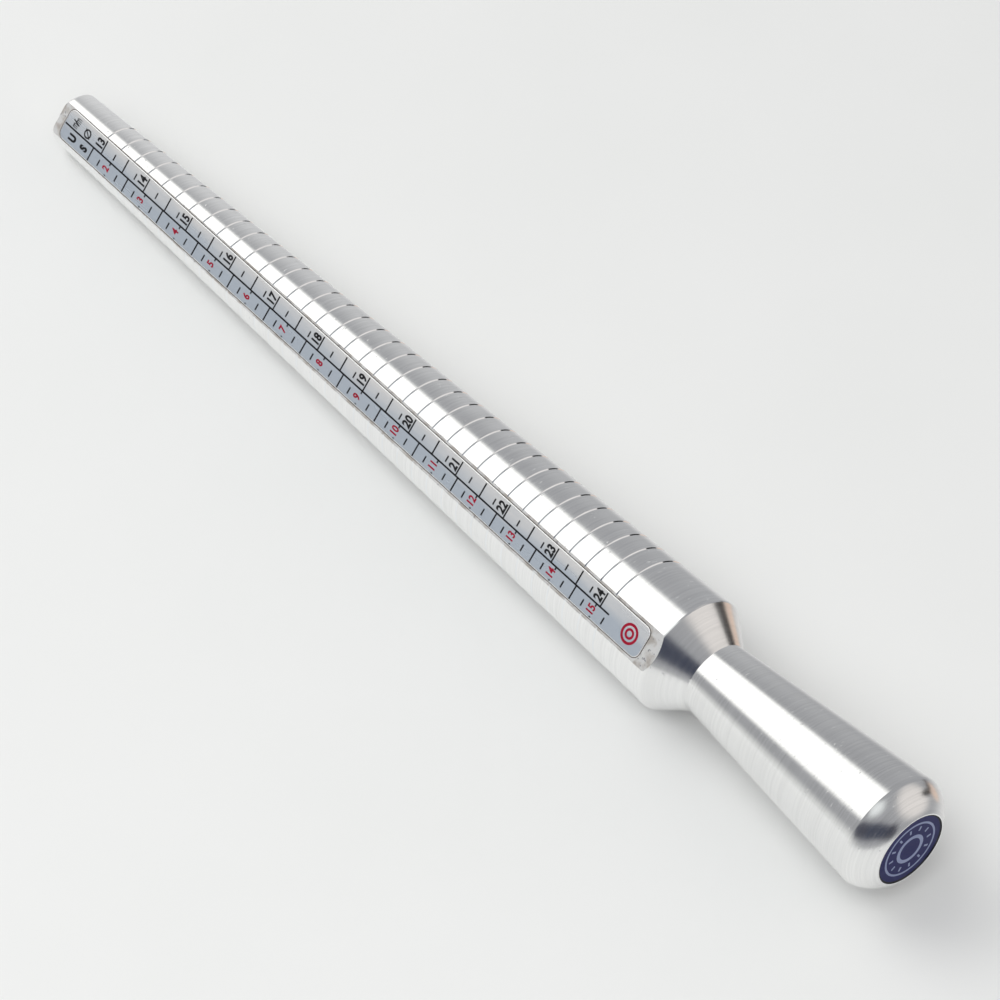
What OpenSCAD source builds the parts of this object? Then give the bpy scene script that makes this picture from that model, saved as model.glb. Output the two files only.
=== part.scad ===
// Ring mandrel: a tapered, scribed sizing rod on a turned handle.
// The tool lies at rest: its taper touches the table along one narrow facet (z = 0).
// +X runs from the tip to the handle, and the printed scale faces -Y and upwards.

/* [Taper] */
// Inside circumference of the smallest ring on the scribed scale
first_size = 41; // [38:1:46]
// Scribed lines, one for each millimetre of circumference
line_count = 36; // [20:1:36]
// Distance along the axis from one line to the next
line_pitch = 4.66; // [4.3:0.01:5]
// Width of a scribed line
line_w = 0.4; // [0.2:0.05:0.6]
// Depth of a scribed line
line_d = 0.2; // [0.1:0.05:0.3]
// Plain length between the tip and the first line
tip_len = 14.4; // [13:0.1:20]
// Rounding of the tip's edge
tip_round = 0.8; // [0.4:0.1:1.5]
// Plain length between the last line and the shoulder
tail_len = 13.7; // [12:0.1:20]
// How far the plain ends stand proud of the scribed taper, a stand-in like rest_cut
land = 0.02; // [0:0.01:0.05]
// Depth of the narrow facet under the rod, a stand-in that keeps it from rolling
rest_cut = 0.05; // [0.03:0.01:0.1]

/* [Shoulder] */
// Length of the cone from the rod's widest point down to the neck
shoulder_len = 7.2; // [5:0.1:10]
// Radius at the neck, where rod and handle meet
neck_r = 7.6; // [6:0.1:9]
// Small chamfer that takes the sharpness off the shoulder
edge_break = 0.15; // [0.05:0.05:0.3]
// Radius of the plain spigot that holds the handle
spigot_r = 4; // [3:0.1:5]
// Length of the spigot
spigot_len = 20; // [12:1:30]

/* [Handle] */
// Length of the handle's flaring part
grip_len = 47.9; // [35:0.1:60]
// Radius at the handle's widest point
grip_r = 12.2; // [10:0.1:14]
// Length of the domed end
dome_len = 5.5; // [5:0.1:7]
// Radius of the curve that the domed end is turned to
dome_curve = 8.8; // [7:0.1:12]
// Radius of the flat rim around the end disc
rim_r = 8.1; // [7.5:0.1:8.5]
// Width of that rim
rim_w = 0.25; // [0.2:0.05:0.6]
// Depth of the seat that the end disc lies in
seat_d = 0.5; // [0.3:0.1:1]
// Thickness of the end disc
disc_t = 0.3; // [0.2:0.05:0.5]

/* [Flats and scales] */
// Angle of the front flat, turned from straight up towards -Y
flat_turn = 49.2; // [30:0.1:70]
// Distance from the axis to a flat, at the first scribed line
flat_d = 5.42; // [5.2:0.01:5.6]
// Rise of a flat away from the axis, for each millimetre along it
flat_rise = 0.0366; // [0.036:0.0001:0.038]
// Width of a scale label
label_w = 6.8; // [6:0.1:7]
// Thickness of a scale label
label_t = 0.12; // [0.1:0.01:0.2]
// Corner radius of a scale label
label_corner = 1.6; // [1:0.1:3]
// Gap between the tip and the near end of a label
label_tip_gap = 2.1; // [1:0.1:5]
// Bare length of flat between a label and the shoulder
label_tail_gap = 2.5; // [1:0.1:5]

/* [Hidden] */
$fn = 96;

fit_gap = 0.02;                 // clearance of the spigot and the end disc
arc_steps = 12;                 // straight runs that make up a turned curve
taper_slope = 1 / (2 * PI * line_pitch);
taper_angle = atan(taper_slope);
first_r = first_size / (2 * PI);
rest_d = first_r + land - rest_cut;
rest_turn = 180;                // the resting facet faces straight down
shoulder_at = (line_count - 1) * line_pitch + tail_len;
neck_at = shoulder_at + shoulder_len;
grip_at = neck_at + grip_len;
end_at = grip_at + dome_len;
seat_r = rim_r - rim_w;
shoulder_r = size_r(shoulder_at) + land;
shoulder_slope = (shoulder_r - neck_r) / shoulder_len;
tip_centre = tip_round - tip_len;
tip_face_r = size_r(tip_centre) + land - tip_round;
label_from = label_tip_gap - tip_len;
label_to = shoulder_at - label_tail_gap;
x_low = tip_centre * cos(taper_angle) - tip_face_r * sin(taper_angle) - tip_round;
x_high = end_at * cos(taper_angle) + rim_r * sin(taper_angle);

// Radius of the taper at a distance along the axis from the first line.
function size_r(at) = first_r + at * taper_slope;

// Points of a scribed V, as [radius, distance along the axis].
function groove(at) = [
    [size_r(at - line_w / 2), at - line_w / 2],
    [size_r(at) - line_d, at],
    [size_r(at + line_w / 2), at + line_w / 2]
];

// Points of an arc about a centre, from one angle to another.
function arc(centre, r, from, to) = [
    for (i = [0 : arc_steps])
        centre + r * [cos(from + (to - from) * i / arc_steps), sin(from + (to - from) * i / arc_steps)]
];

// Centre of the outward arc of radius r that joins two points of an outline.
function bulge_centre(a, b, r) =
    let (step = b - a, out = [step.y, -step.x] / norm(step))
    (a + b) / 2 - out * sqrt(r * r - pow(norm(step) / 2, 2));

function bulge(a, b, r) =
    let (centre = bulge_centre(a, b, r), p = a - centre, q = b - centre)
    arc(centre, r, atan2(p.y, p.x), atan2(q.y, q.x));

// Lays the tool down: from its own axis (Z, with Y up) to the table.
module lay() {
    translate([-(x_low + x_high) / 2, 0, rest_d * cos(taper_angle)])
        rotate([0, -taper_angle, 0])
            rotate([90, 0, 90])
                children();
}

// Puts flat work on a flat: Z points out of it and Y runs towards the handle.
module on_flat(turn, d = flat_d, rise = flat_rise) {
    rotate([0, 0, turn])
        translate([0, d, 0])
            rotate([-atan(rise), 0, 0])
                rotate([90, 0, 180])
                    children();
}

// All that a milling cut takes away above one flat.
module flat_cut(turn, d = flat_d, rise = flat_rise) {
    on_flat(turn, d, rise)
        translate([-20, -tip_len - 10, 0])
            cube([40, neck_at + 2 * tip_len, 20]);
}

module rounded_bar(width, from, to, corner) {
    translate([-width / 2 + corner, from])
        square([width - 2 * corner, to - from]);
    translate([-width / 2, from + corner])
        square([width, to - from - 2 * corner]);
    for (x = [-1, 1], y = [from + corner, to - corner])
        translate([x * (width / 2 - corner), y])
            circle(corner);
}

module scale_label(turn) {
    lay()
        on_flat(turn)
            linear_extrude(label_t)
                rounded_bar(label_w, label_from, label_to, label_corner);
}

module rod() {
    outline = concat(
        [[0, -tip_len]],
        arc([tip_face_r, tip_centre], tip_round, -90, 0),
        [for (i = [0 : line_count - 1], point = groove(i * line_pitch)) point],
        [
            [shoulder_r - taper_slope * edge_break, shoulder_at - edge_break],
            [shoulder_r - shoulder_slope * edge_break, shoulder_at + edge_break],
            [neck_r, neck_at],
            [spigot_r, neck_at],
            [spigot_r, neck_at + spigot_len],
            [0, neck_at + spigot_len]
        ]
    );
    color("silver")
        lay()
            difference() {
                rotate_extrude()
                    polygon(outline);
                flat_cut(flat_turn);
                flat_cut(flat_turn + 180);
                flat_cut(rest_turn, rest_d, taper_slope);
            }
}

module handle() {
    outline = concat(
        [[spigot_r + fit_gap, neck_at], [neck_r, neck_at]],
        bulge([grip_r, grip_at], [rim_r, end_at], dome_curve),
        [
            [seat_r, end_at],
            [seat_r, end_at - seat_d],
            [0, end_at - seat_d],
            [0, neck_at + spigot_len + fit_gap],
            [spigot_r + fit_gap, neck_at + spigot_len + fit_gap]
        ]
    );
    color("gainsboro")
        lay()
            rotate_extrude()
                polygon(outline);
}

module front_scale_label() {
    color("lightsteelblue")
        scale_label(flat_turn);
}

module back_scale_label() {
    color("lightsteelblue")
        scale_label(flat_turn + 180);
}

module end_disc() {
    color("midnightblue")
        lay()
            translate([0, 0, end_at - seat_d])
                cylinder(h = disc_t, r = seat_r - fit_gap);
}

rod();
handle();
front_scale_label();
back_scale_label();
end_disc();
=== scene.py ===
"""Looks of the ring mandrel: a turned aluminium rod and handle, printed scales and an end disc.

Lengths are in millimetres until mesh_piece() turns them into metres. A point on the tool is given
as (at, r, turn): the distance along the axis from the first scribed line, the distance from the
axis, and the angle in degrees from straight up towards -Y, the same as in the part's own source.
"""

import math

import bmesh
import bpy
from mathutils import Matrix, Vector


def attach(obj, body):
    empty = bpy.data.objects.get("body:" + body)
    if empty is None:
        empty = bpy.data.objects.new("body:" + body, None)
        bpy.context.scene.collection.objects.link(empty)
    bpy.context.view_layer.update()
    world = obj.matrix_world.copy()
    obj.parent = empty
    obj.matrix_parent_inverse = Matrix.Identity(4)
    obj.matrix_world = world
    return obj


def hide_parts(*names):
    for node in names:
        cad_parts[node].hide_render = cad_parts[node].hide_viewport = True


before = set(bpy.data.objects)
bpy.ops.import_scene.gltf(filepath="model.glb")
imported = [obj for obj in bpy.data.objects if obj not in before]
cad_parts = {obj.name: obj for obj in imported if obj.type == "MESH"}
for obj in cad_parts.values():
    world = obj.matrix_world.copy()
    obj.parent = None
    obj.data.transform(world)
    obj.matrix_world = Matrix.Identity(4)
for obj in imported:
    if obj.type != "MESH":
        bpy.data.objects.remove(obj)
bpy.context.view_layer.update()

MM = 0.001

# ---- Dimensions, repeated from the part's source, but for LINE_D ----

FIRST_SIZE = 41
LINE_COUNT = 36
LINE_PITCH = 4.66
LINE_W = 0.4
LINE_D = 0.16  # 0.2 in the part: walls at the shallower angle mirror the light as the real ones do
TIP_LEN = 14.4
TIP_ROUND = 0.8
TAIL_LEN = 13.7
LAND = 0.02
REST_CUT = 0.05
SHOULDER_LEN = 7.2
NECK_R = 7.6
EDGE_BREAK = 0.15
SPIGOT_R = 4.0
SPIGOT_LEN = 20.0
FIT_GAP = 0.02
GRIP_LEN = 47.9
GRIP_R = 12.2
DOME_LEN = 5.5
DOME_CURVE = 8.8
RIM_R = 8.1
RIM_W = 0.25
SEAT_D = 0.5
DISC_T = 0.3
FRONT_TURN = 49.2
BACK_TURN = FRONT_TURN + 180
FLAT_D = 5.42
FLAT_RISE = 0.0366
LABEL_W = 6.8
LABEL_T = 0.12
LABEL_CORNER = 1.6
LABEL_TIP_GAP = 2.1
LABEL_TAIL_GAP = 2.5

TAPER_SLOPE = 1 / (2 * math.pi * LINE_PITCH)
TAPER_ANGLE = math.atan(TAPER_SLOPE)
FIRST_R = FIRST_SIZE / (2 * math.pi)
SHOULDER_AT = (LINE_COUNT - 1) * LINE_PITCH + TAIL_LEN
NECK_AT = SHOULDER_AT + SHOULDER_LEN
GRIP_AT = NECK_AT + GRIP_LEN
END_AT = GRIP_AT + DOME_LEN
SEAT_R = RIM_R - RIM_W
TIP_CENTRE = TIP_ROUND - TIP_LEN
LABEL_FROM = LABEL_TIP_GAP - TIP_LEN
LABEL_TO = SHOULDER_AT - LABEL_TAIL_GAP


def size_r(at):
    """Radius of the taper at a distance from the first line."""
    return FIRST_R + at * TAPER_SLOPE


SHOULDER_R = size_r(SHOULDER_AT) + LAND
TIP_FACE_R = size_r(TIP_CENTRE) + LAND - TIP_ROUND

# ---- The tool's place on the table ----

ALONG = Vector((math.cos(TAPER_ANGLE), 0, math.sin(TAPER_ANGLE)))
UP = Vector((-math.sin(TAPER_ANGLE), 0, math.cos(TAPER_ANGLE)))
ACROSS = Vector((0, -1, 0))
X_LOW = TIP_CENTRE * ALONG.x - TIP_FACE_R * ALONG.z - TIP_ROUND
X_HIGH = END_AT * ALONG.x + RIM_R * ALONG.z
ORIGIN = Vector((-(X_LOW + X_HIGH) / 2, 0, (FIRST_R + LAND - REST_CUT) * ALONG.x))


def outwards(turn):
    """Direction that points away from the axis at an angle."""
    angle = math.radians(turn)
    return UP * math.cos(angle) + ACROSS * math.sin(angle)


def tool_point(at, r, turn):
    """A point on the tool, in the row frame, in millimetres."""
    return ORIGIN + ALONG * at + outwards(turn) * r


def flat_frame(turn):
    """Matrix of a flat: X runs across it, Y towards the handle and Z out of it."""
    slope = math.atan(FLAT_RISE)
    out = outwards(turn) * math.cos(slope) - ALONG * math.sin(slope)
    run = ALONG * math.cos(slope) + outwards(turn) * math.sin(slope)
    side = run.cross(out)
    start = tool_point(0, FLAT_D, turn)
    return Matrix.Translation(start) @ Matrix((side, run, out)).transposed().to_4x4()


def end_frame(at):
    """Matrix of a face square to the axis: Z runs away from the tip and Y is up."""
    side = UP.cross(ALONG)
    return Matrix.Translation(tool_point(at, 0, 0)) @ Matrix((side, UP, ALONG)).transposed().to_4x4()


# ---- Materials ----


class Nodes:
    """A material's nodes, with short calls for the ones that repeat."""

    def __init__(self, name):
        self.material = bpy.data.materials.new(name)
        self.material.use_nodes = True
        self.tree = self.material.node_tree
        self.shader = self.tree.nodes["Principled BSDF"]

    def add(self, kind, **values):
        node = self.tree.nodes.new(kind)
        for key, value in values.items():
            setattr(node, key, value)
        return node

    def link(self, out, socket):
        self.tree.links.new(out, socket)

    def set(self, **values):
        for key, value in values.items():
            self.shader.inputs[key.replace("_", " ")].default_value = value

    def tool_space(self):
        """Position in tool coordinates in millimetres: X along the axis, which is at Y = Z = 0."""
        place = self.add("ShaderNodeTexCoord")
        turn = self.add("ShaderNodeMapping")
        turn.inputs["Scale"].default_value = (1 / MM, 1 / MM, 1 / MM)
        turn.inputs["Rotation"].default_value = (0, TAPER_ANGLE, 0)
        turn.inputs["Location"].default_value = (-ORIGIN.dot(ALONG), 0, -ORIGIN.dot(UP))
        self.link(place.outputs["Object"], turn.inputs["Vector"])
        return turn.outputs["Vector"]

    def noise(self, vector, stretch, detail=2.0):
        """Noise with its own number of features per millimetre along each axis."""
        scale = self.add("ShaderNodeMapping")
        scale.inputs["Scale"].default_value = stretch
        self.link(vector, scale.inputs["Vector"])
        noise = self.add("ShaderNodeTexNoise")
        noise.inputs["Scale"].default_value = 1.0
        noise.inputs["Detail"].default_value = detail
        self.link(scale.outputs["Vector"], noise.inputs["Vector"])
        return noise.outputs["Fac"]

    def ramp(self, factor, low, high, start=0.3, end=0.7):
        """A colour that runs from low to high as a factor rises from start to end."""
        ramp = self.add("ShaderNodeValToRGB")
        ramp.color_ramp.elements[0].position = start
        ramp.color_ramp.elements[0].color = (*low, 1)
        ramp.color_ramp.elements[1].position = end
        ramp.color_ramp.elements[1].color = (*high, 1)
        self.link(factor, ramp.inputs["Fac"])
        return ramp.outputs["Color"]

    def blend(self, factor, a, b):
        """One colour where a factor is 0 and another where it is 1."""
        mix = self.add("ShaderNodeMix", data_type="RGBA")
        self.link(factor, mix.inputs["Factor"])
        self.link(a, mix.inputs["A"])
        mix.inputs["B"].default_value = (*b, 1)
        return mix.outputs["Result"]

    def span(self, factor, low, high):
        """A number that runs from low to high as a noise factor rises."""
        span = self.add("ShaderNodeMapRange")
        span.inputs["From Min"].default_value = 0.3
        span.inputs["From Max"].default_value = 0.7
        span.inputs["To Min"].default_value = low
        span.inputs["To Max"].default_value = high
        self.link(factor, span.inputs["Value"])
        return span.outputs["Result"]

    def bump(self, height, depth, under=None):
        """A bump of a depth in millimetres, on top of another one if given."""
        bump = self.add("ShaderNodeBump")
        bump.inputs["Strength"].default_value = 1.0
        bump.inputs["Distance"].default_value = depth * MM
        self.link(height, bump.inputs["Height"])
        if under:
            self.link(under, bump.inputs["Normal"])
        return bump.outputs["Normal"]


STREAK_SHADE = 0.905  # the darkest streak's share of the metal's tint
BROAD_DEPTH = 1.6  # of the broad marks, as a multiple of the fine ones
NICK_DEPTH = 0.025
BLACK = (0, 0, 0)
WHITE = (1, 1, 1)


def turned_metal(name, tint, smooth, rough, grain, marks, mark_depth):
    """Metal with streaks and marks round the axis, and a few nicks.

    The roughness runs from smooth to rough, grain is the anisotropy, marks is how many marks there
    are per millimetre, and mark_depth is how deep they are in millimetres.
    """
    n = Nodes(name)
    place = n.tool_space()
    fine = n.noise(place, (marks, 0.04, 0.04), 3.0)
    broad = n.noise(place, (0.7, 0.03, 0.03))
    streaks = n.noise(place, (2.6, 0.03, 0.03), 5.0)
    dark = tuple(c * STREAK_SHADE for c in tint)
    n.link(n.ramp(streaks, dark, tint), n.shader.inputs["Base Color"])
    n.link(n.span(fine, smooth, rough), n.shader.inputs["Roughness"])
    nicks = n.ramp(n.noise(place, (1.1, 0.5, 0.5)), BLACK, WHITE, 0.70, 0.74)
    waves = n.bump(fine, mark_depth, n.bump(broad, mark_depth * BROAD_DEPTH))
    shape = n.bump(nicks, NICK_DEPTH, waves)
    n.link(shape, n.shader.inputs["Normal"])
    n.set(Metallic=1.0, Anisotropic=grain)
    tangent = n.add("ShaderNodeTangent", direction_type="UV_MAP", uv_map="round")
    n.link(tangent.outputs["Tangent"], n.shader.inputs["Tangent"])
    return n.material


STAIN = (0.70, 0.655, 0.61)
SPECK = (0.46, 0.45, 0.47)
CUTTER_DEPTH = 0.002


def milled_metal(name, tint):
    """The bare flat: faint cutter marks across it, brownish stains and a few dark specks."""
    n = Nodes(name)
    place = n.tool_space()
    cutter = n.noise(place, (2.2, 0.5, 0.5), 3.0)
    stains = n.ramp(n.noise(place, (0.45, 0.45, 0.45), 4.0), STAIN, tint, 0.38, 0.58)
    specks = n.ramp(n.noise(place, (1.5, 1.5, 1.5), 1.0), BLACK, WHITE, 0.66, 0.74)
    n.link(n.blend(specks, stains, SPECK), n.shader.inputs["Base Color"])
    n.link(n.span(cutter, 0.42, 0.54), n.shader.inputs["Roughness"])
    n.link(n.bump(cutter, CUTTER_DEPTH), n.shader.inputs["Normal"])
    n.set(Metallic=1.0)
    return n.material


PRINT_GRAIN = 0.0002


def printed(name, low, high, rough, metallic=0.0, gloss=0.5):
    """Ink, painted shade, lacquer or plain metal, mottled between two colours."""
    n = Nodes(name)
    place = n.tool_space()
    mottle = n.noise(place, (0.12, 0.5, 0.5), 3.0)
    grain = n.noise(place, (1.3, 1.3, 1.3))
    n.link(n.ramp(mottle, low, high), n.shader.inputs["Base Color"])
    n.link(n.span(grain, rough * 0.9, rough * 1.1), n.shader.inputs["Roughness"])
    n.link(n.bump(grain, PRINT_GRAIN), n.shader.inputs["Normal"])
    n.set(Metallic=metallic, Specular_IOR_Level=gloss)
    return n.material


FRONT_ANGLE = math.radians(FRONT_TURN)
FOIL_DOWN = (0, -math.cos(FRONT_ANGLE), -math.sin(FRONT_ANGLE))  # down across the front label
FOIL_WAVER = 5.0  # how far the streaks move the change of tint, in millimetres
FOIL_TOP = -1.0
FOIL_BOTTOM = 6.0
# The lighter, warmer colour towards the upper edge is a painted reflection; the blue-grey is the foil's
# own.
FOIL_PAINTED_SHEEN = (0.93, 0.915, 0.895)
FOIL_BLUE = (0.58, 0.64, 0.71)
FOIL_GRAIN = 0.001


def label_foil(name):
    """Blue-grey foil, with a painted reflection that makes it lighter and warmer towards its upper edge.
    """
    n = Nodes(name)
    place = n.tool_space()
    across = n.add("ShaderNodeVectorMath", operation="DOT_PRODUCT")
    across.inputs[1].default_value = FOIL_DOWN
    n.link(place, across.inputs[0])
    streak = n.noise(place, (0.05, 0.4, 0.4), 4.0)
    shift = n.add("ShaderNodeMath", operation="MULTIPLY_ADD")
    shift.inputs[1].default_value = FOIL_WAVER
    n.link(streak, shift.inputs[0])
    n.link(across.outputs["Value"], shift.inputs[2])
    height = n.add("ShaderNodeMapRange")
    height.inputs["From Min"].default_value = FOIL_TOP
    height.inputs["From Max"].default_value = FOIL_BOTTOM
    n.link(shift.outputs["Value"], height.inputs["Value"])
    # Painted reflection: the foil's colour runs from the painted sheen at the upper edge to its own blue
    # lower down.
    tint = n.ramp(height.outputs["Result"], FOIL_PAINTED_SHEEN, FOIL_BLUE, 0.0, 0.6)
    n.link(tint, n.shader.inputs["Base Color"])
    n.link(n.span(streak, 0.24, 0.28), n.shader.inputs["Roughness"])
    n.link(n.bump(streak, FOIL_GRAIN), n.shader.inputs["Normal"])
    n.set(Metallic=0.65)
    return n.material


rod_metal = turned_metal("rod_turned", (0.98, 0.98, 0.975), 0.10, 0.16, 0.6, 5.0, 0.0006)
handle_metal = turned_metal("handle_turned", (0.905, 0.905, 0.90), 0.10, 0.17, 0.6, 3.5, 0.0008)
end_metal = turned_metal("turned_ends", (0.935, 0.935, 0.93), 0.165, 0.215, 0.5, 4.0, 0.0010)
groove_metal = printed("scribed_line", (0.90, 0.915, 0.93), (0.95, 0.965, 0.98), 0.05, metallic=1.0)
flat_metal = milled_metal("milled_flat", (0.98, 0.975, 0.965))
foil = label_foil("label_foil_grey")
# The label's falling edge: near-white and half diffuse, partly the bare cut edge and partly a painted
# highlight line.
foil_edge_highlight = printed("label_foil_edge_painted_highlight", (0.90, 0.90, 0.90), (0.96, 0.96, 0.96), 0.28, metallic=0.35)
# A dark band round each label: painted shade standing in for the shadow in the gap between label and flat.
gap_shade = printed("label_painted_gap_shade", (0.075, 0.065, 0.055), (0.13, 0.115, 0.10), 0.45, gloss=0.3)
black_ink = printed("ink_black", (0.004, 0.004, 0.005), (0.009, 0.009, 0.011), 0.50, gloss=0.2)
red_ink = printed("ink_red", (0.28, 0.007, 0.024), (0.34, 0.012, 0.034), 0.50, gloss=0.1)
disc_blue = printed("disc_lacquer", (0.006, 0.008, 0.088), (0.010, 0.012, 0.102), 0.34, gloss=0.15)
pale_ink = printed("ink_pale_blue", (0.24, 0.28, 0.46), (0.30, 0.34, 0.52), 0.40, gloss=0.25)
rim_metal = printed("handle_rim", (0.95, 0.95, 0.95), (0.98, 0.98, 0.98), 0.22, metallic=1.0)
# A dark ring at the disc's edge: painted shade for the gap under the handle's rim.
disc_gap_shade_ink = printed("painted_disc_gap_shade", (0.004, 0.004, 0.010), (0.008, 0.008, 0.016), 0.40, gloss=0.2)


# ---- Meshes ----

SHARP = math.radians(12)  # an edge with a larger angle is shaded as an edge
SAME_POINT = 1e-7  # in metres
NO_LENGTH = 1e-8  # in metres


def mesh_piece(name, points, faces, materials, replaced=(), indices=None, uvs=None, smooth=False):
    """Makes one piece of the object from points in millimetres, and ties it to the frame."""
    mesh = bpy.data.meshes.new(name)
    mesh.from_pydata([p * MM for p in points], [], faces)
    for material in materials:
        mesh.materials.append(material)
    if indices:
        mesh.polygons.foreach_set("material_index", indices)
    if uvs:
        layer = mesh.uv_layers.new(name="round")
        layer.data.foreach_set("uv", [c for uv in uvs for c in uv])
    work = bmesh.new()
    work.from_mesh(mesh)
    bmesh.ops.remove_doubles(work, verts=work.verts, dist=SAME_POINT)
    bmesh.ops.dissolve_degenerate(work, edges=work.edges, dist=NO_LENGTH)
    bmesh.ops.recalc_face_normals(work, faces=work.faces)
    work.to_mesh(mesh)
    work.free()
    if smooth:
        mesh.shade_smooth()
        mesh.set_sharp_from_angle(angle=SHARP)
    piece = bpy.data.objects.new(name, mesh)
    bpy.context.scene.collection.objects.link(piece)
    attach(piece, "root")
    if replaced:
        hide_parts(*replaced)
    return piece


# Steps round half of a ring: along its arc and across its flat.
ARC_STEPS = 116
FLAT_STEPS = 8
HALF_RING = ARC_STEPS + FLAT_STEPS


def flat_level(at):
    """Distance of a flat from the axis."""
    return FLAT_D + FLAT_RISE * at


def ring_turns(at, r, flats):
    """Where the points of one ring lie, as (turn, r). A flat's edges keep their place in the list."""
    if not flats:
        steps = 2 * HALF_RING
        return [(360 * i / steps, r) for i in range(steps)]
    half = math.degrees(math.acos(min(1.0, flat_level(at) / r)))
    half_width = r * math.sin(math.radians(half))
    level = r * math.cos(math.radians(half))
    ring = []
    for turn in (FRONT_TURN, BACK_TURN):
        for i in range(FLAT_STEPS):
            offset = half_width * (2 * i / FLAT_STEPS - 1)
            ring.append((turn + math.degrees(math.atan2(offset, level)), math.hypot(offset, level)))
        for i in range(ARC_STEPS):
            ring.append((turn + half + (180 - 2 * half) * i / ARC_STEPS, r))
    return ring


UV_ALONG = 0.01  # of the uv map, per millimetre along the axis
UV_OUT = 0.013  # and per millimetre away from it


def lathe(outline, flats=False, closed=False):
    """Turns an outline of (r, at) points round the axis.

    Returns points, faces, uvs and, for each face, (first outline point, place in the ring).
    """
    points = []
    rings = []
    turns = []
    for r, at in outline:
        if r == 0:
            rings.append([len(points)])
            turns.append([0.0])
            points.append(tool_point(at, 0, 0))
            continue
        ring = ring_turns(at, r, flats)
        rings.append(list(range(len(points), len(points) + len(ring))))
        turns.append([turn for turn, _ in ring])
        points.extend(tool_point(at, radius, turn) for turn, radius in ring)
    faces = []
    uvs = []
    origins = []
    pairs = len(outline) if closed else len(outline) - 1
    for a in range(pairs):
        b = (a + 1) % len(outline)
        low, high = rings[a], rings[b]
        if len(low) == 1 and len(high) == 1:
            continue
        count = max(len(low), len(high))
        for i in range(count):
            j = (i + 1) % count
            corners = [(a, i), (a, j), (b, j), (b, i)]
            if len(low) == 1:
                corners = [(a, 0), (b, j), (b, i)]
            if len(high) == 1:
                corners = [(a, i), (a, j), (b, 0)]
            faces.append([rings[k][m] for k, m in corners])
            origins.append((a, i))
            middle = turns[a][i] if len(low) > 1 else turns[b][i]
            for k, m in corners:
                turn = turns[k][m] if len(rings[k]) > 1 else middle
                turn += 360 if turn < middle - 180 else 0
                uvs.append((turn / 360, outline[k][1] * UV_ALONG + outline[k][0] * UV_OUT))
    return points, faces, uvs, origins


def arc(centre, r, start, end, steps):
    """Points of an arc in an outline, as (r, at)."""
    cr, cat = centre
    angles = [math.radians(start + (end - start) * i / steps) for i in range(steps + 1)]
    return [(cr + r * math.cos(a), cat + r * math.sin(a)) for a in angles]


def bulge(a, b, r, steps):
    """Points of the outward arc of radius r between two points of an outline."""
    step = (b[0] - a[0], b[1] - a[1])
    length = math.hypot(*step)
    out = (step[1] / length, -step[0] / length)
    reach = math.sqrt(r * r - length * length / 4)
    centre = ((a[0] + b[0]) / 2 - out[0] * reach, (a[1] + b[1]) / 2 - out[1] * reach)
    start = math.degrees(math.atan2(a[1] - centre[1], a[0] - centre[0]))
    end = math.degrees(math.atan2(b[1] - centre[1], b[0] - centre[0]))
    return arc(centre, r, start, end, steps)


# ---- Rod ----

ROUND_STEPS = 16
RUNOUT_STEPS = 10
TIP_FACES = 2  # outline steps that make the end face of the tip
ROD_ROUND, ROD_FLAT, ROD_LINE, ROD_END = range(4)  # places in the rod's list of materials


def rod_outline():
    """Outline of the rod, with the outline places at which a scribed line's two walls start."""
    outline = [(0, -TIP_LEN), (TIP_FACE_R / 2, -TIP_LEN)]
    outline += arc((TIP_FACE_R, TIP_CENTRE), TIP_ROUND, -90, 0, ROUND_STEPS)
    walls = set()
    for i in range(LINE_COUNT):
        at = i * LINE_PITCH
        walls.update((len(outline), len(outline) + 1))
        outline.append((size_r(at - LINE_W / 2), at - LINE_W / 2))
        outline.append((size_r(at) - LINE_D, at))
        outline.append((size_r(at + LINE_W / 2), at + LINE_W / 2))
    cone = (SHOULDER_R - NECK_R) / SHOULDER_LEN
    outline.append((SHOULDER_R - TAPER_SLOPE * EDGE_BREAK, SHOULDER_AT - EDGE_BREAK))
    start_r = SHOULDER_R - cone * EDGE_BREAK
    start_at = SHOULDER_AT + EDGE_BREAK
    runout = (start_r - flat_level(start_at)) / (cone + FLAT_RISE)
    for i in range(RUNOUT_STEPS + 1):
        at = start_at + runout * (1 - (1 - i / RUNOUT_STEPS) ** 2)
        outline.append((start_r - cone * (at - start_at), at))
    outline += [(NECK_R, NECK_AT), (SPIGOT_R, NECK_AT), (SPIGOT_R, NECK_AT + SPIGOT_LEN)]
    outline.append((0, NECK_AT + SPIGOT_LEN))
    return outline, walls


def rod_finish(at, a, i, walls):
    """Material of the rod's face at outline point a, which lies at a distance, and ring place i."""
    if a >= TIP_FACES and i % HALF_RING < FLAT_STEPS:
        return ROD_FLAT
    if a in walls:
        return ROD_LINE
    if a < TIP_FACES or at > SHOULDER_AT:
        return ROD_END
    return ROD_ROUND


def build_rod():
    """The rod, with a round underside. What would lie below the table is raised to it."""
    outline, walls = rod_outline()
    points, faces, uvs, origins = lathe(outline, flats=True)
    for p in points:
        p.z = max(p.z, 0.0)
    indices = [rod_finish(outline[a][1], a, i, walls) for a, i in origins]
    metals = [rod_metal, flat_metal, groove_metal, end_metal]
    mesh_piece("rod_turned", points, faces, metals, ["rod"], indices, uvs, True)


# ---- Handle ----

GRIP_EDGE = 0.12
GRIP_STEPS = 12
DOME_STEPS = 24
GRIP_ROUND, GRIP_RIM, GRIP_DOME = range(3)  # places in the handle's list of materials


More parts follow.
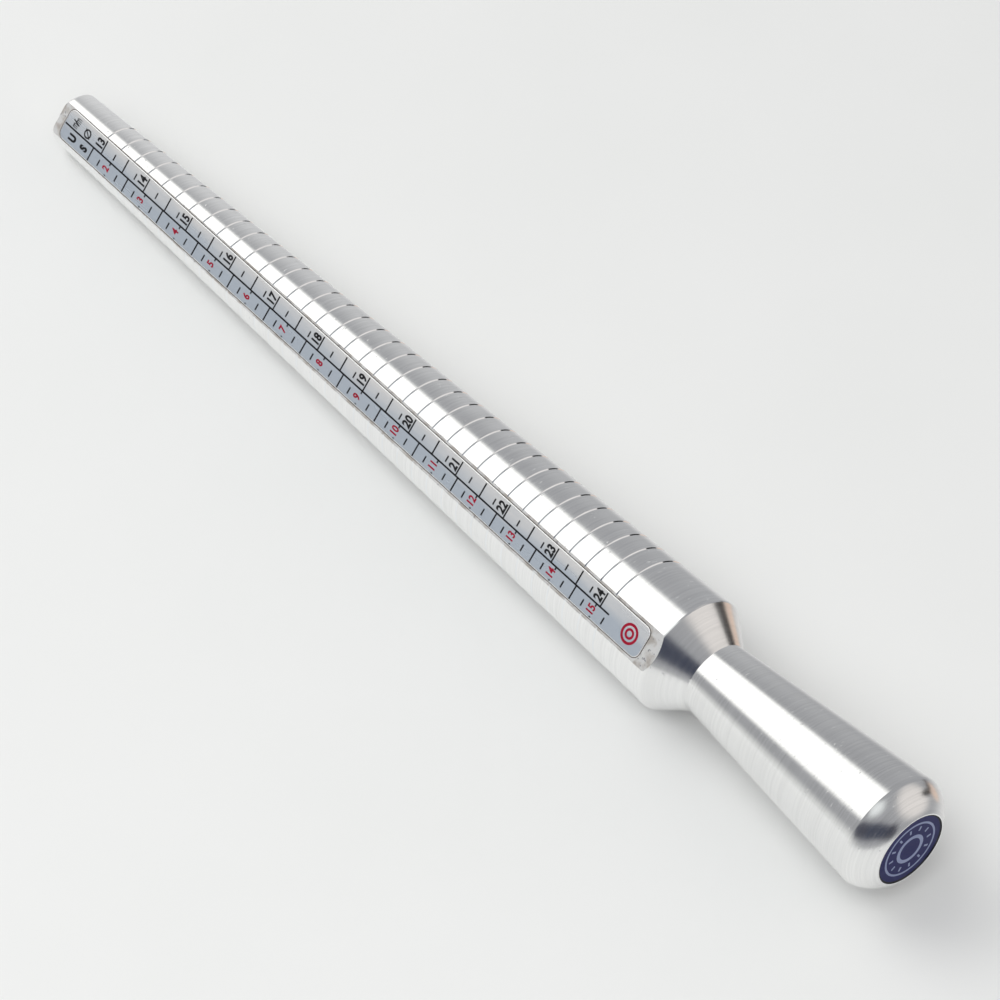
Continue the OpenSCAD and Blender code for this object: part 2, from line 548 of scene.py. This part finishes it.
def build_handle():
    """The handle: a flare, an edge that is broken a little, a dome, the disc's seat and the bore."""
    flare = (GRIP_R - NECK_R) / GRIP_LEN
    bore_r = SPIGOT_R + FIT_GAP
    bore_end = NECK_AT + SPIGOT_LEN + FIT_GAP
    dome = bulge((GRIP_R, GRIP_AT), (RIM_R, END_AT), DOME_CURVE, DOME_STEPS)
    outline = [(bore_r, NECK_AT), (NECK_R, NECK_AT)]
    for i in range(1, GRIP_STEPS):
        along = GRIP_LEN * i / GRIP_STEPS
        outline.append((NECK_R + flare * along, NECK_AT + along))
    outline.append((GRIP_R - flare * GRIP_EDGE, GRIP_AT - GRIP_EDGE))
    outline += [p for p in dome if p[1] > GRIP_AT + GRIP_EDGE]
    rim = len(outline) - 1
    outline += [(SEAT_R, END_AT), (SEAT_R, END_AT - SEAT_D), (0, END_AT - SEAT_D)]
    outline += [(0, bore_end), (bore_r, bore_end)]
    points, faces, uvs, origins = lathe(outline, closed=True)
    indices = []
    for a, _ in origins:
        outside = GRIP_DOME if outline[a][1] > GRIP_AT else GRIP_ROUND
        indices.append(GRIP_RIM if a == rim else outside)
    metals = [handle_metal, rim_metal, end_metal]
    mesh_piece("handle_turned", points, faces, metals, ["handle"], indices, uvs, True)


# ---- Labels and print ----

INK_T = 0.015
INK_SINK = 0.004
LABEL_EDGE = 0.16  # width of the edge that falls away
LABEL_DROP = 0.112  # how far it falls
# The band of painted shade round a label: its width and its height.
GAP_SHADE_W = 0.14  # each way from the label's side
GAP_SHADE_T = 0.03
CORNER_STEPS = 14
OUTLINE_POINTS = 4 * (CORNER_STEPS + 1)
CAP_HEIGHT = 0.682  # of the built-in font, for a size of 1
BAND = (0, 1, 3, 2)  # order of the lower inner, lower outer, upper outer and upper inner loops


def band_faces(first, count):
    """Faces of a closed flat band, from four loops of points that start at a place in the list."""
    faces = []
    for i in range(count):
        j = (i + 1) % count
        loops = [first + k * count for k in BAND]
        for a, b in zip(loops, loops[1:] + loops[:1]):
            faces.append([a + i, a + j, b + j, b + i])
    return faces


def rounded_outline(half_w, start, end, corner):
    """Corners of a rounded bar in a flat's own frame, as (across, along)."""
    outline = []
    corners = [(1, start, -90), (1, end, 0), (-1, end, 90), (-1, start, 180)]
    for side, along, first in corners:
        cx = side * (half_w - corner)
        cy = along + (corner if along == start else -corner)
        for i in range(CORNER_STEPS + 1):
            angle = math.radians(first + 90 * i / CORNER_STEPS)
            outline.append((cx + corner * math.cos(angle), cy + corner * math.sin(angle)))
    return outline


class Print:
    """Thin flat shapes in one ink, gathered into one mesh."""

    def __init__(self, matrix, level):
        self.matrix = matrix
        self.low = level - INK_SINK
        self.high = level + INK_T
        self.points = []
        self.faces = []

    def prism(self, outline):
        """A shape with a straight-sided edge, its outline given anticlockwise."""
        first = len(self.points)
        count = len(outline)
        for z in (self.low, self.high):
            self.points.extend(self.matrix @ Vector((x, y, z)) for x, y in outline)
        self.faces.append([first + i for i in reversed(range(count))])
        self.faces.append([first + count + i for i in range(count)])
        for i in range(count):
            j = (i + 1) % count
            self.faces.append([first + i, first + j, first + count + j, first + count + i])

    def bar(self, x0, x1, y0, y1):
        """A straight bar."""
        self.prism([(x0, y0), (x1, y0), (x1, y1), (x0, y1)])

    def tick(self, across, at):
        """A tick that runs from one place across the flat to another, with its middle at a distance."""
        self.bar(*across, at - STROKE / 2, at + STROKE / 2)

    def ring(self, x, y, outer, inner, steps=72):
        """A flat ring about a centre."""
        first = len(self.points)
        for z in (self.low, self.high):
            for r in (inner, outer):
                for i in range(steps):
                    a = 2 * math.pi * i / steps
                    self.points.append(self.matrix @ Vector((x + r * math.cos(a), y + r * math.sin(a), z)))
        self.faces.extend(band_faces(first, steps))

    def text(self, body, x, y, height, squeeze=1.0, bold=0.0):
        """Figures that read across the flat, with their tops towards the tip."""
        curve = bpy.data.curves.new("figures", "FONT")
        curve.body = body
        curve.align_x = "CENTER"
        curve.offset = bold
        curve.extrude = 0.5
        curve.resolution_u = 3
        holder = bpy.data.objects.new("figures", curve)
        bpy.context.scene.collection.objects.link(holder)
        mesh = bpy.data.meshes.new_from_object(holder.evaluated_get(bpy.context.evaluated_depsgraph_get()))
        scale = height / CAP_HEIGHT
        first = len(self.points)
        for vertex in mesh.vertices:
            place = vertex.co
            level = self.high if place.z > 0 else self.low
            spot = Vector((x - place.x * scale * squeeze, y - place.y * scale, level))
            self.points.append(self.matrix @ spot)
        self.faces.extend([first + v for v in face.vertices] for face in mesh.polygons)
        bpy.data.objects.remove(holder)
        bpy.data.curves.remove(curve)
        bpy.data.meshes.remove(mesh)

    def make(self, name, ink):
        mesh_piece(name, self.points, self.faces, [ink])


def build_label(name, node, turn):
    """A foil plate whose edge falls away a little."""
    matrix = flat_frame(turn)
    levels = [(0.0, 0.0), (LABEL_T - LABEL_DROP, 0.0), (LABEL_T, LABEL_EDGE)]
    points = []
    faces = []
    count = OUTLINE_POINTS
    for z, inset in levels:
        half_w = LABEL_W / 2 - inset
        outline = rounded_outline(half_w, LABEL_FROM + inset, LABEL_TO - inset, LABEL_CORNER - inset)
        points.extend(matrix @ Vector((x, y, z)) for x, y in outline)
    for level in range(len(levels) - 1):
        for i in range(count):
            j = (i + 1) % count
            low, high = level * count, (level + 1) * count
            faces.append([low + i, low + j, high + j, high + i])
    faces.append(list(reversed(range(count))))
    faces.append([(len(levels) - 1) * count + i for i in range(count)])
    # The falling edge takes the near-white edge material, partly a painted highlight.
    indices = [1] * (len(faces) - 1) + [0]
    mesh_piece(name, points, faces, [foil, foil_edge_highlight], [node], indices)


def build_gap_shade_line(name, turn):
    """A thin dark band round a label: painted shade for the gap between the label and the flat."""
    matrix = flat_frame(turn)
    points = []
    for z in (-INK_SINK, GAP_SHADE_T):
        for grow in (-GAP_SHADE_W, GAP_SHADE_W):
            half_w = LABEL_W / 2 + grow
            outline = rounded_outline(half_w, LABEL_FROM - grow, LABEL_TO + grow, LABEL_CORNER + grow)
            points.extend(matrix @ Vector((x, y, z)) for x, y in outline)
    mesh_piece(name, points, band_faces(0, OUTLINE_POINTS), [gap_shade])


# Figures: height, squeeze and boldness, and how far their feet stand past their tick.
BLACK_FIGURES = (2.05, 0.74, 0.04)
BLACK_FIGURES_PAST = -0.50
RED_FIGURES = (1.80, 0.74, 0.03)
RED_FIGURES_PAST = 0.28
BACK_FIGURES = (2.0, 0.70, 0.03)
BACK_FIGURES_PAST = 0.95
STROKE = 0.35
CENTRE_LINE = 0.11
CENTRE_LINE_GAP = 0.3  # from the label's end
CENTRE_LINE_PAST = 0.6  # past the last tick
# A diameter's place along the axis, and a US size's diameter, as printed.
SCALE_STEP = 14.6386  # along the axis, per millimetre of diameter
SCALE_SHIFT = 1.22  # from the first scribed line to its own diameter on the label
US_ZERO = 11.595
US_STEP = 0.8226
# Where ticks start and end across the front label: negative is up, towards the diameters.
DIAMETER_LONG = (-3.03, CENTRE_LINE)
DIAMETER_SHORT = (-1.95, -0.6)
DIAMETER_MIDDLE = -1.55  # of the figures
US_LONG = (CENTRE_LINE, 3.2)
US_SHORT = (1.2, 2.65)
US_ENDS = [(CENTRE_LINE, 0.75), (2.9, 3.2)]  # either side of a figure
US_MIDDLE = 1.75  # of the figures
# Sizes at which the two scales start and end, in quarters.
DIAMETER_QUARTERS = range(4 * 13, 4 * 24 + 1)
US_QUARTERS = range(4 * 1 + 2, 4 * 15 + 2)
# Headings: text, place across and along, height, squeeze and boldness.
HEADINGS = [
    ("m", -0.8, -8.5, 2.0, 0.46, 0.012),
    ("/", -1.45, -8.3, 1.9, 0.9, 0.02),
    ("m", -2.1, -8.1, 2.0, 0.46, 0.012),
    ("Ø", -1.2, -4.2, 2.0, 0.9, 0.012),
    ("U", 1.75, -7.3, 2.0, 0.70, 0.06),
    ("S", 1.8, -3.4, 2.0, 0.70, 0.06),
]
BACK_HEADING = ("m/m", 0, -8.0, 1.9, 0.5)
BACK_TICKS = [(-3.1, -1.5), (1.5, 3.1)]
# Rings: outer and inner radius.
MARK_AT = (0.2, 170.2)
MARK_RINGS = [(2.1, 1.55), (1.1, 0.6)]
DIAL_RINGS = [(6.25, 5.8), (3.3, 2.5)]
DIAL_TICKS = 12
DIAL_TICK_FROM = 4.2
DIAL_TICK_TO = 5.2
DIAL_TICK_W = 0.44
DIAL_STEPS = 96
# Width of the ring of painted shade round the disc.
DISC_GAP_SHADE_W = 0.32


def diameter_at(diameter):
    """Place along the axis of an inside diameter."""
    return (diameter - FIRST_SIZE / math.pi) * SCALE_STEP + SCALE_SHIFT


def us_at(size):
    """Place along the axis of a US size."""
    return diameter_at(US_ZERO + US_STEP * size)


def build_front_print():
    """Diameters in black along the upper edge, and US sizes in red along the lower one."""
    matrix = flat_frame(FRONT_TURN)
    black = Print(matrix, LABEL_T)
    red = Print(matrix, LABEL_T)
    half = STROKE / 2
    line_end = us_at(US_QUARTERS[-1] / 4) + CENTRE_LINE_PAST
    black.bar(CENTRE_LINE - half, CENTRE_LINE + half, LABEL_FROM + CENTRE_LINE_GAP, line_end)
    for quarter in DIAMETER_QUARTERS:
        at = diameter_at(quarter / 4)
        black.tick(DIAMETER_SHORT if quarter % 2 else DIAMETER_LONG, at)
        if quarter % 4 == 0:
            black.text(str(quarter // 4), DIAMETER_MIDDLE, at + BLACK_FIGURES_PAST, *BLACK_FIGURES)
    for quarter in US_QUARTERS:
        at = us_at(quarter / 4)
        if quarter % 2:
            black.tick(US_SHORT, at)
        elif quarter % 4 == 2:
            black.tick(US_LONG, at)
        else:
            for across in US_ENDS:
                black.tick(across, at)
            red.text(str(quarter // 4), US_MIDDLE, at + RED_FIGURES_PAST, *RED_FIGURES)
    for heading in HEADINGS:
        black.text(*heading)
    for outer, inner in MARK_RINGS:
        red.ring(*MARK_AT, outer, inner)
    black.make("front_scale_print", black_ink)
    red.make("front_size_print", red_ink)


def build_back_print():
    """Circumferences, one to each scribed line."""
    black = Print(flat_frame(BACK_TURN), LABEL_T)
    for i in range(LINE_COUNT):
        at = i * LINE_PITCH
        for across in BACK_TICKS:
            black.tick(across, at)
        black.text(str(FIRST_SIZE + i), 0, at + BACK_FIGURES_PAST, *BACK_FIGURES)
    black.text(*BACK_HEADING)
    black.make("back_scale_print", black_ink)


def build_disc_print():
    """A ring inside a dial, which is a plain sign for ring sizes, and a dark ring of painted shade round
    the disc's edge.
    """
    matrix = end_frame(END_AT - SEAT_D)
    pale = Print(matrix, DISC_T)
    for outer, inner in DIAL_RINGS:
        pale.ring(0, 0, outer, inner, DIAL_STEPS)
    for i in range(DIAL_TICKS):
        angle = 2 * math.pi * i / DIAL_TICKS
        along = Vector((math.cos(angle), math.sin(angle)))
        side = Vector((-along.y, along.x)) * DIAL_TICK_W / 2
        start = along * DIAL_TICK_FROM
        end = along * DIAL_TICK_TO
        pale.prism([tuple(p) for p in (start - side, end - side, end + side, start + side)])
    pale.make("end_disc_print", pale_ink)
    # The dark ring round the disc is painted shade, not a printed mark.
    rim = Print(matrix, DISC_T)
    disc_r = SEAT_R - FIT_GAP
    rim.ring(0, 0, disc_r, disc_r - DISC_GAP_SHADE_W, DIAL_STEPS)
    rim.make("end_disc_painted_gap_shade", disc_gap_shade_ink)


build_rod()
build_handle()
build_label("front_label_plate", "front_scale_label", FRONT_TURN)
build_label("back_label_plate", "back_scale_label", BACK_TURN)
# Dark bands of painted shade round the labels.
build_gap_shade_line("front_label_painted_gap_shade", FRONT_TURN)
build_gap_shade_line("back_label_painted_gap_shade", BACK_TURN)
build_front_print()
build_back_print()
build_disc_print()
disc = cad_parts["end_disc"]
disc.data.materials.clear()
disc.data.materials.append(disc_blue)

# ---- Floor and lights, in metres ----

FLOOR_REACH = 6.0
NEAR_FLOOR_TO = 0.02
NEAR_FLOOR_Z = 0.00002


def floor_sheet(name, back, z, material):
    """A flat sheet from the front of the room to a distance behind the tool."""
    mesh = bpy.data.meshes.new(name)
    r = FLOOR_REACH
    mesh.from_pydata([(-r, -r, z), (r, -r, z), (r, back, z), (-r, back, z)], [], [(0, 1, 2, 3)])
    mesh.materials.append(material)
    sheet = bpy.data.objects.new(name, mesh)
    bpy.context.scene.collection.objects.link(sheet)
    return sheet


def build_floor():
    """The floor, and the part of it that the metal mirrors. Behind that, it mirrors the room."""
    n = Nodes("floor_paper")
    place = n.tool_space()
    paper = n.noise(place, (0.02, 0.02, 0.02), 4.0)
    n.link(n.ramp(paper, (0.85, 0.857, 0.845), (0.865, 0.87, 0.86)), n.shader.inputs["Base Color"])
    n.set(Roughness=0.9, Specular_IOR_Level=0.1)
    floor = floor_sheet("floor", FLOOR_REACH, 0.0, n.material)
    floor.visible_glossy = False
    near = floor_sheet("floor_in_mirror", NEAR_FLOOR_TO, NEAR_FLOOR_Z, n.material)
    near.visible_camera = False
    near.visible_diffuse = False
    near.visible_shadow = False


def direction(elevation, azimuth):
    """Direction at an elevation above the table and an azimuth from +Y towards +X, in degrees."""
    e, a = math.radians(elevation), math.radians(azimuth)
    return Vector((math.sin(a) * math.cos(e), math.cos(a) * math.cos(e), math.sin(e)))


def softbox(name, elevation, azimuth, distance, width, height, radiance):
    """A rectangular light that lights the floor and prints, and doesn't show in the metal."""
    light = bpy.data.lights.new(name, "AREA")
    light.shape = "RECTANGLE"
    light.size = width
    light.size_y = height
    light.energy = radiance * math.pi * width * height
    lamp = bpy.data.objects.new(name, light)
    bpy.context.scene.collection.objects.link(lamp)
    away = direction(elevation, azimuth)
    lamp.location = away * distance
    lamp.rotation_mode = "QUATERNION"
    lamp.rotation_quaternion = away.to_track_quat("Z", "Y")
    lamp.visible_camera = False
    lamp.visible_glossy = False


# Soft patches of the room: elevation, azimuth, inner and outer radius in degrees, colour. First come
# the broad pale ones, then a dark arc from the handle's end round to the front, a warm patch behind
# the tool with a thin dark strip beside it, and last the key light.
ROOM = [
    (-80, 0, 34, 69, (0.73, 0.73, 0.725)),
    (-35, -165, 36, 56, (0.84, 0.845, 0.83)),
    (-5, -80, 37, 52, (0.70, 0.705, 0.71)),
    (28, 36, 20, 39, (0.77, 0.735, 0.71)),
    (74, 155, 6, 22, (0.86, 0.89, 0.89)),
    (16, 99, 8, 17, (0.045, 0.047, 0.065)),
    (24, 113, 9, 17, (0.05, 0.054, 0.08)),
    (30, 127, 10, 19, (0.05, 0.057, 0.085)),
    (30, 142, 10, 20, (0.05, 0.057, 0.085)),
    (30, 156, 10, 20, (0.05, 0.057, 0.085)),
    (30, 170, 10, 20, (0.055, 0.057, 0.08)),
    (-18, 2, 5, 13, (0.74, 0.58, 0.48)),
    (-8, -8, 2, 5, (0.06, 0.045, 0.04)),
    (-7, 0, 2, 6, (0.02, 0.015, 0.013)),
    (-4, 8, 2, 6, (0.012, 0.010, 0.010)),
    (2, 13, 3, 7, (0.012, 0.011, 0.011)),
    (8, 17, 2, 6, (0.03, 0.03, 0.03)),
    (45, -101, 23, 32, (1.32, 1.32, 1.29)),
]
ROOM_GREY = (0.36, 0.365, 0.38)
CAMERA_BACKDROP = (0.84, 0.845, 0.83)


def build_room():
    """A grey room with a few soft patches in it."""
    world = bpy.data.worlds.new("studio")
    bpy.context.scene.world = world
    world.use_nodes = True
    tree = world.node_tree
    background = tree.nodes["Background"]
    place = tree.nodes.new("ShaderNodeTexCoord")
    base = tree.nodes.new("ShaderNodeRGB")
    base.outputs["Color"].default_value = (*ROOM_GREY, 1)
    colour = base.outputs["Color"]
    for elevation, azimuth, inner, outer, patch in ROOM:
        dot = tree.nodes.new("ShaderNodeVectorMath")
        dot.operation = "DOT_PRODUCT"
        dot.inputs[1].default_value = direction(elevation, azimuth)
        tree.links.new(place.outputs["Generated"], dot.inputs[0])
        soft = tree.nodes.new("ShaderNodeMapRange")
        soft.interpolation_type = "SMOOTHSTEP"
        soft.inputs["From Min"].default_value = math.cos(math.radians(outer))
        soft.inputs["From Max"].default_value = math.cos(math.radians(inner))
        tree.links.new(dot.outputs["Value"], soft.inputs["Value"])
        mix = tree.nodes.new("ShaderNodeMix")
        mix.data_type = "RGBA"
        mix.inputs["B"].default_value = (*patch, 1)
        tree.links.new(soft.outputs["Result"], mix.inputs["Factor"])
        tree.links.new(colour, mix.inputs["A"])
        colour = mix.outputs["Result"]
    path = tree.nodes.new("ShaderNodeLightPath")
    shown = tree.nodes.new("ShaderNodeMix")
    shown.data_type = "RGBA"
    shown.inputs["B"].default_value = (*CAMERA_BACKDROP, 1)
    tree.links.new(path.outputs["Is Camera Ray"], shown.inputs["Factor"])
    tree.links.new(colour, shown.inputs["A"])
    tree.links.new(shown.outputs["Result"], background.inputs["Color"])


# ---- Camera: its place in tool coordinates, and its lens, in millimetres ----

CAMERA_AT = 633.86
CAMERA_R = 855.61
CAMERA_TURN = 28.75
CAMERA_LENS = 185.66
CAMERA_REACH = 50  # in metres
CAMERA_AIM = Vector((5.34, 4.09, 0.0))


def build_camera():
    """The camera, which looks at a point on the table."""
    data = bpy.data.cameras.new("camera")
    data.lens = CAMERA_LENS
    data.clip_end = CAMERA_REACH
    camera = bpy.data.objects.new("camera", data)
    bpy.context.scene.collection.objects.link(camera)
    place = tool_point(CAMERA_AT, CAMERA_R, CAMERA_TURN)
    camera.location = place * MM
    camera.rotation_mode = "QUATERNION"
    camera.rotation_quaternion = (CAMERA_AIM - place).to_track_quat("-Z", "Y")
    bpy.context.scene.camera = camera


build_floor()
build_room()
softbox("front_softbox", 54, 150, distance=1.1, width=1.2, height=0.9, radiance=1.4)
softbox("side_softbox", 42, -112, distance=1.1, width=0.7, height=0.7, radiance=2.0)
build_camera()
bpy.context.scene.view_settings.view_transform = "Standard"
